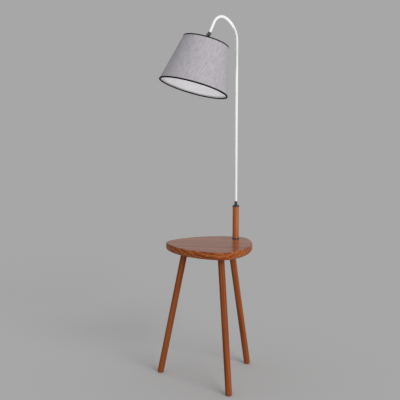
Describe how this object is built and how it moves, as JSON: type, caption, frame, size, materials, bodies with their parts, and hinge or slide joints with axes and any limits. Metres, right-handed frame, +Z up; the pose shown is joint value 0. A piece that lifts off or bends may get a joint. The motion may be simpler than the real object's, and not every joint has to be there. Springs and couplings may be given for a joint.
{
  "type": "floor lamp with table",
  "caption": "Floor lamp growing from a small three-legged wooden side table: short post, turning arched white pole and tilting conical grey fabric shade.",
  "frame": {"origin": "on the floor, in the middle of the lamp's outline box seen from above", "axes": "+Z up; +X from the table's centre towards the post, which stands over the back leg"},
  "size_m": [0.4638, 0.439, 1.5739],
  "materials": {
    "table_wood": "satin lacquer",
    "leg_wood": "satin lacquer",
    "post_wood": "satin lacquer",
    "black_metal": "satin",
    "dark_nickel": "polished black nickel",
    "zinc_steel": "zinc plated",
    "brass": "turned",
    "white_lacquer": "gloss white",
    "white_wire": "white powder coat",
    "black_plastic": "moulded",
    "white_ceramic": "glazed insulating core",
    "cable_sheath": "smooth sheath",
    "grey_linen": "plain weave",
    "white_liner": "smooth matt",
    "black_tape": "ribbed tape",
    "bulb_metal": "threaded shell",
    "opal_glass": "opal"
  },
  "bodies": {
    "table": {"table_top": "table_wood", "leg_front": "leg_wood", "leg_left": "leg_wood", "leg_back": "leg_wood", "leg_bolts": "zinc_steel", "leg_inserts": "brass", "post": "post_wood", "post_base_ring": "dark_nickel", "post_cap": "dark_nickel", "tie_rod": "zinc_steel", "tie_washer": "zinc_steel", "tie_nut": "zinc_steel", "cord_bushing": "black_plastic", "cable_lower": "cable_sheath", "swivel_washer": "black_plastic"},
    "arm": {"pole_coupling": "dark_nickel", "grub_screw": "black_metal", "pole_tube": "white_lacquer", "cable_upper": "cable_sheath", "knuckle_fork": "dark_nickel", "knuckle_bolt": "dark_nickel", "friction_washers": "zinc_steel"},
    "wing_nut": {"wing_nut": "black_plastic"},
    "head": {"knuckle_tongue": "dark_nickel", "holder_cap": "black_metal", "holder_cap_nut": "zinc_steel", "holder_body": "black_plastic", "holder_core": "white_ceramic", "holder_shell": "brass", "holder_contact": "brass", "terminal_screws": "brass", "holder_leads": "cable_sheath", "holder_ring": "black_plastic", "carrier_plate": "white_wire", "carrier_spokes": "white_wire", "shade_top_ring": "white_wire", "shade_bottom_ring": "white_wire", "shade_fabric": "grey_linen", "shade_liner": "white_liner", "shade_top_tape": "black_tape", "shade_bottom_tape": "black_tape", "bulb_base": "bulb_metal", "bulb_tip": "zinc_steel", "bulb_globe": "opal_glass"}
  },
  "joints": [
    {"name": "arm_swing", "type": "hinge", "parent": "table", "child": "arm", "pos_m": [0.13267, 0, 0.76], "axis": [0, 0, 1], "range_deg": [-78, 101]},
    {"name": "head_tilt", "type": "hinge", "parent": "arm", "child": "head", "pos_m": [-0.01159, 0.02961, 1.49187], "axis": [0.2011, 0.9796, 0], "range_deg": [-14, 55]},
    {"name": "wing_nut_turn", "type": "hinge", "parent": "arm", "child": "wing_nut", "pos_m": [-0.01159, 0.02961, 1.49187], "axis": [0.2011, 0.9796, 0], "continuous": true}
  ]
}
